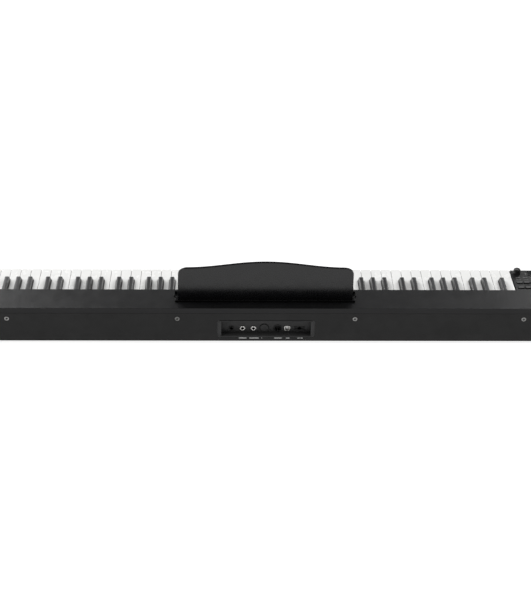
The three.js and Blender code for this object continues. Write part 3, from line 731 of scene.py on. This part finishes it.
def makeTrim():
    look = trimSet
    floor = nodeBox("bottom_case")[1].y - look["inset"]
    middle = sum(side.x for side in nodeBox("jack_recess")) / 2
    bm = bmesh.new()
    outer = (look["half"], look["low"], look["high"], look["radius"])
    width = look["width"]
    inner = (look["half"] - width, look["low"] + width, look["high"] - look["topWidth"],
             look["radius"] - width)
    loops = [roundedLoop(bm, *outer, floor + look["proud"]), roundedLoop(bm, *outer, floor),
             roundedLoop(bm, *inner, floor)]
    for first, second in zip(loops, loops[1:] + loops[:1]):
        for number in range(len(first)):
            after = (number + 1) % len(first)
            bm.faces.new((first[number], first[after], second[after], second[number]))
    for face in bm.faces:
        face.material_index = 1 if face.calc_center_median().z > look["shade"] else 0
    bmesh.ops.translate(bm, vec=(middle, 0, 0), verts=bm.verts)
    addPiece("recess_trim", bm, ("recessPlastic", "shadowBlack"), "piano_body")


makeTrim()
print("recess trim made")

# power button
powerSet = {
    "cap": 9.4, "dish": 0.5, "rise": 2.0, "low": -6.3, "stem": 4.0, "ring": 6.6, "ringDrop": 0.1, "sides": 48,
    "rim": ((0.0, 0.9), (0.3, 0.25), (0.9, 0.0)),   # in from the cap's side, down from its top
}


def makePowerButton():
    look = powerSet
    low, high = nodeBox("power_button")
    cap, ring, rise, drop = look["cap"], look["ring"], look["rise"], look["ringDrop"]
    face = high.y - rise
    stemEnd = low.y - face
    profile = [(0, stemEnd), (look["stem"], stemEnd), (look["stem"], look["low"]), (cap, look["low"])]
    profile += [(cap - inward, rise - down) for inward, down in look["rim"]]
    profile += [(ring, rise - drop), (ring / 2, rise - look["dish"]), (0, rise - look["dish"] - drop)]
    bm = bmesh.new()
    turned(bm, profile, look["sides"])
    place = Matrix.Translation(((low.x + high.x) / 2, face, (low.z + high.z) / 2)) @ facingBack
    bmesh.ops.transform(bm, matrix=place, verts=bm.verts)
    addPiece("power_cap", bm, "recessPlastic", "power_button", ("power_button",))


makePowerButton()

# controls on the bass deck
controlSet = {
    "shoulder": -1.8, "flange": (0.8, 1.3), "deckTop": 1.0, "corner": 1.7, "rim": 0.9, "dish": 0.35,
    # the light grey bar across each button's dish is a painted highlight for the shine on the button's top
    "dishWall": 1.3, "highlightBar": (5.4, 1.15), "highlightBarThick": 0.12,
}


def makeButton(node):
    look = controlSet
    low, high = nodeBox(node)
    middle = (low + high) / 2
    half = ((high.x - low.x) / 2, (high.y - low.y) / 2)
    shoulder = look["shoulder"]
    bm = bmesh.new()
    boxed(bm, half, low.z, shoulder)
    top = facesUp(bm, shoulder)
    flangeX, flangeY = look["flange"]
    bmesh.ops.inset_region(bm, faces=top, thickness=flangeX, use_even_offset=True)
    bmesh.ops.scale(bm, vec=(1, (half[1] - flangeY) / (half[1] - flangeX), 1), verts=vertsOn(top))
    drawOut(bm, top, (0, 0, high.z - shoulder))
    uprights = edgesWhere(bm, lambda a, b: isUpright(a, b) and min(a.z, b.z) > shoulder - slack)
    soften(bm, uprights, look["corner"], segments=4)
    soften(bm, edgesWhere(bm, lambda a, b: min(a.z, b.z) > high.z - slack), look["rim"], segments=3)
    crown = facesUp(bm, high.z)
    bmesh.ops.inset_region(bm, faces=crown, thickness=look["dishWall"], use_even_offset=True)
    bmesh.ops.translate(bm, vec=(0, 0, -look["dish"]), verts=vertsOn(crown))
    # a light grey bar across the dish: painted highlight for the shine on the button's top
    highlightHalf, highlightThin = look["highlightBar"]
    highlightLow = high.z - look["dish"]
    highlightBar = block(bm, (-highlightHalf, -highlightThin, highlightLow), (highlightHalf, highlightThin, highlightLow + look["highlightBarThick"]))
    paint(highlightBar, 1)
    bmesh.ops.translate(bm, vec=(middle.x, middle.y, 0), verts=bm.verts)
    addPiece(f"panel_{node}", bm, ("softRubber", "inkGrey"), node, (node,))


knobSet = {
    "stem": 3.0, "foot": 1.6, "dish": 0.45,
    "skirt": ((0.0, 0.0), (0.0, 1.2), (0.35, 1.7), (0.35, 2.0)),   # in, up from the foot
    "crown": ((0.9, 2.6), (1.3, 1.4), (2.2, 0.45), (3.4, 0.0), (3.9, 0.35)),   # in, down from the top
    "flutes": 24, "fluteDepth": 0.035, "fluteLow": 1.9, "fluteHigh": 0.3,
    "pointerHalf": 0.5, "pointerStart": 0.8, "pointerEnd": 4.8, "pointerLow": 0.5, "pointerHigh": 0.22,
}


def makeKnob():
    look = knobSet
    low, high = nodeBox("volume_knob")
    stem, foot, radius = look["stem"], look["foot"], (high.x - low.x) / 2
    steps = look["flutes"] * 2
    profile = [(0, low.z), (stem, low.z), (stem, foot)]
    profile += [(radius - inward, foot + up) for inward, up in look["skirt"]]
    profile += [(radius - inward, high.z - down) for inward, down in look["crown"]]
    profile += [(0, high.z - look["dish"])]
    bm = bmesh.new()
    turned(bm, profile, steps)
    for vert in bm.verts:
        turn = math.atan2(vert.co.y, vert.co.x) / math.tau * steps
        if foot + look["fluteLow"] < vert.co.z < high.z - look["fluteHigh"] and round(turn) % 2:
            vert.co.x *= 1 - look["fluteDepth"]
            vert.co.y *= 1 - look["fluteDepth"]
    pointer = block(bm, (-look["pointerHalf"], look["pointerStart"], high.z - look["pointerLow"]),
                    (look["pointerHalf"], radius - look["pointerEnd"], high.z - look["pointerHigh"]))
    paint(pointer, 1)
    bmesh.ops.translate(bm, vec=((low.x + high.x) / 2, (low.y + high.y) / 2, 0), verts=bm.verts)
    addPiece("volume_dial", bm, ("knobSkin", "inkGrey"), "volume_knob", ("volume_knob",))


for number in range(1, 9):
    makeButton(f"button_{number}")
makeKnob()
print("controls made")

# printed marks: plain bars, no lettering
printSet = {
    "thick": 0.12, "labelZ": -45.6, "labelHalf": 0.85, "corner": 0.5,
    # middle and half width of each label
    "labels": ((52.2, 8.6), (26.5, 10.6), (9.4, 0.7), (-27.0, 8.2), (-48.8, 4.2), (-73.0, 2.6), (-80.0, 2.6)),
    "deckRows": (38.4, 49.6), "deckHalf": (5.4, 0.75),
    "wedge": (-34.0, 17.0, 26.0, 0.5),
}


def makePrints():
    look = printSet
    back = nodeBox("bottom_case")[1].y
    bm = bmesh.new()
    for x, half in look["labels"]:
        plate = block(bm, (x - half, back, look["labelZ"] - look["labelHalf"]),
                      (x + half, back + look["thick"], look["labelZ"] + look["labelHalf"]))
        short = [edge for edge in edgesAt(plate)
                 if abs(edge.verts[0].co.y - edge.verts[1].co.y) > look["thick"] / 2]
        soften(bm, short, look["corner"], segments=3)
    addPiece("socket_marks", bm, "inkWhite", "piano_body")
    bm = bmesh.new()
    halfX, halfY = look["deckHalf"]
    deckTop = controlSet["deckTop"]
    edge = nodeBox("bass_deck")[1].x
    for node in ("button_1", "button_2", "button_3", "button_4"):
        low, high = nodeBox(node)
        x = (low.x + high.x) / 2
        for y in look["deckRows"]:
            block(bm, (x - halfX, y - halfY, deckTop), (x + halfX, y + halfY, deckTop + look["thick"]))
    offset, near, far, half = look["wedge"]
    block(bm, (edge + offset - half, near, deckTop), (edge + offset + half, far, deckTop + look["thick"]))
    addPiece("deck_marks", bm, "inkGrey", "piano_body")


makePrints()

# display surround
surroundSet = {"reach": 2.4, "width": 2.0, "rise": 0.7, "edge": 0.25}


def makeDisplayFrame():
    look = surroundSet
    low, high = nodeBox("display_window")
    reach, top = look["reach"], controlSet["deckTop"]
    bm = bmesh.new()
    base = rectangle(bm, (low.x - reach, low.y - reach), (high.x + reach, high.y + reach), top)
    bm.normal_update()
    bmesh.ops.inset_region(bm, faces=[base], thickness=look["width"], use_boundary=True, use_even_offset=True)
    bmesh.ops.delete(bm, geom=[base], context="FACES")
    drawOutKeeping(bm, list(bm.faces), (0, 0, look["rise"]))
    bmesh.ops.recalc_face_normals(bm, faces=bm.faces)
    softenSharp(bm, look["edge"])
    addPiece("display_frame", bm, "darkPlastic", "piano_body")


makeDisplayFrame()

# rubber feet
footSet = {
    "radius": 10.0, "sides": 40, "grooves": 3, "groove": 0.5, "grooveLow": 2.0, "grooveStep": 1.1,
    "cup": (0.35, 0.42, 0.5),   # the hollow underneath: two shares of the radius, and its height
    "rim": ((1.2, 0.0), (0.3, 0.5), (0.0, 1.4)),
}


def makeFoot(node):
    look = footSet
    low, high = nodeBox(node)
    tall = high.z - low.z
    radius, groove = look["radius"], look["groove"]
    cupIn, cupOut, cupTop = look["cup"]
    profile = [(0, cupTop), (radius * cupIn, cupTop), (radius * cupOut, 0)]
    profile += [(radius - inward, up) for inward, up in look["rim"]]
    for step in range(look["grooves"]):
        height = look["grooveLow"] + step * look["grooveStep"]
        profile += [(radius, height), (radius - groove, height + groove / 2), (radius, height + groove)]
    profile += [(radius, tall), (0, tall)]
    bm = bmesh.new()
    turned(bm, profile, look["sides"])
    bmesh.ops.translate(bm, vec=((low.x + high.x) / 2, (low.y + high.y) / 2, low.z), verts=bm.verts)
    addPiece(f"rubber_{node}", bm, "softRubber", "piano_body", (node,))


for number in range(1, 5):
    makeFoot(f"foot_{number}")
print("marks, display frame and feet made")

# CAD pieces that keep their shape: finish and softened edges
keptNodes = {
    "satinPaint": (("top_case", 1.2), ("bass_deck", 0.5), ("treble_cheek", 0.8), ("front_rail", 0.8)),
    # the recess's plate takes the paler plastic with its painted fill light
    "recessPlastic": (("jack_recess", 0.5),),
    "caseMoulding": (("bottom_case", 0.8),),
    "softRubber": (("contact_rubber", 0.5), ("wiring_loom", 0)),
    "smokeLens": (("display_window", 0.4), ("indicator_guide", 0.15)),
    "feltCloth": (("rail_felt", 0.3),),
    "greyFrame": (("key_frame", 0.5),),
    "paperPulp": (("speaker_1", 0.3), ("speaker_2", 0.3)),
    "circuitLaminate": (("contact_board", 0.1), ("control_board", 0.15), ("main_board", 0.2),
                        ("jack_board", 0.1)),
}
dressSet = {"weld": 0.00001, "flatAngle": 0.5, "edgeAngle": 40}


def dressNodes():
    for material, entries in keptNodes.items():
        for node, width in entries:
            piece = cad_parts[node]
            piece.data.materials.clear()
            piece.data.materials.append(materials[material])
            weld = piece.modifiers.new("weld", "WELD")
            weld.merge_threshold = dressSet["weld"]
            if width:
                flat = piece.modifiers.new("flat", "DECIMATE")
                flat.decimate_type = "DISSOLVE"
                flat.angle_limit = math.radians(dressSet["flatAngle"])
                edge = piece.modifiers.new("edge", "BEVEL")
                edge.width = width * mm
                edge.segments = 2
                edge.limit_method = "ANGLE"
                edge.angle_limit = math.radians(dressSet["edgeAngle"])
                edge.harden_normals = True


dressNodes()
print("CAD nodes dressed")

# studio
studioSet = {
    "floor": 30.0, "floorGlow": 0.86, "floorPaint": 0.3, "sky": 0.26,
    # name: place, what it points at, width, height, watts
    "lamps": {
        "softLeft": ((3.0, -4.0, 2.5), (0.3, 0.0, 0.0), 2.4, 2.4, 210),
        "softRight": ((-3.1, -4.0, 2.3), (-0.3, 0.0, 0.0), 2.2, 2.2, 130),
        "highLeft": ((2.6, 0.9, 3.0), (0.0, 0.0, 0.0), 2.2, 2.2, 66),
        "highRight": ((-2.6, 0.9, 3.0), (0.0, 0.0, 0.0), 2.2, 2.2, 66),
    },
}


def makeLamp(name, place, target, width, height, watts):
    data = bpy.data.lights.new(name, "AREA")
    data.shape = "RECTANGLE"
    data.size = width
    data.size_y = height
    data.energy = watts
    lamp = bpy.data.objects.new(name, data)
    aim = (Vector(target) - Vector(place)).to_track_quat("-Z", "Y")
    lamp.matrix_world = Matrix.Translation(place) @ aim.to_matrix().to_4x4()
    bpy.context.scene.collection.objects.link(lamp)


def makeStudio():
    world = bpy.data.worlds.new("studio")
    bpy.context.scene.world = world
    world.use_nodes = True
    sky = world.node_tree.nodes["Background"]
    sky.inputs["Color"].default_value = (1, 1, 1, 1)
    sky.inputs["Strength"].default_value = studioSet["sky"]
    bm = bmesh.new()
    bmesh.ops.create_grid(bm, x_segments=1, y_segments=1, size=studioSet["floor"])
    mesh = bpy.data.meshes.new("floor")
    bm.to_mesh(mesh)
    bm.free()
    floor = bpy.data.objects.new("floor", mesh)
    bpy.context.scene.collection.objects.link(floor)
    material, nodes, links, shader = newMaterial("paleFloor")
    shade = studioSet["floorPaint"]
    shader.inputs["Base Color"].default_value = (shade, shade, shade, 1)
    shader.inputs["Roughness"].default_value = 0.9
    shader.inputs["Specular IOR Level"].default_value = 0.0
    shader.inputs["Emission Color"].default_value = (1, 1, 1, 1)
    shader.inputs["Emission Strength"].default_value = studioSet["floorGlow"]
    mesh.materials.append(material)
    for name, settings in studioSet["lamps"].items():
        makeLamp(name, *settings)
    bpy.context.scene.view_settings.view_transform = "Standard"


makeStudio()
print("studio made")
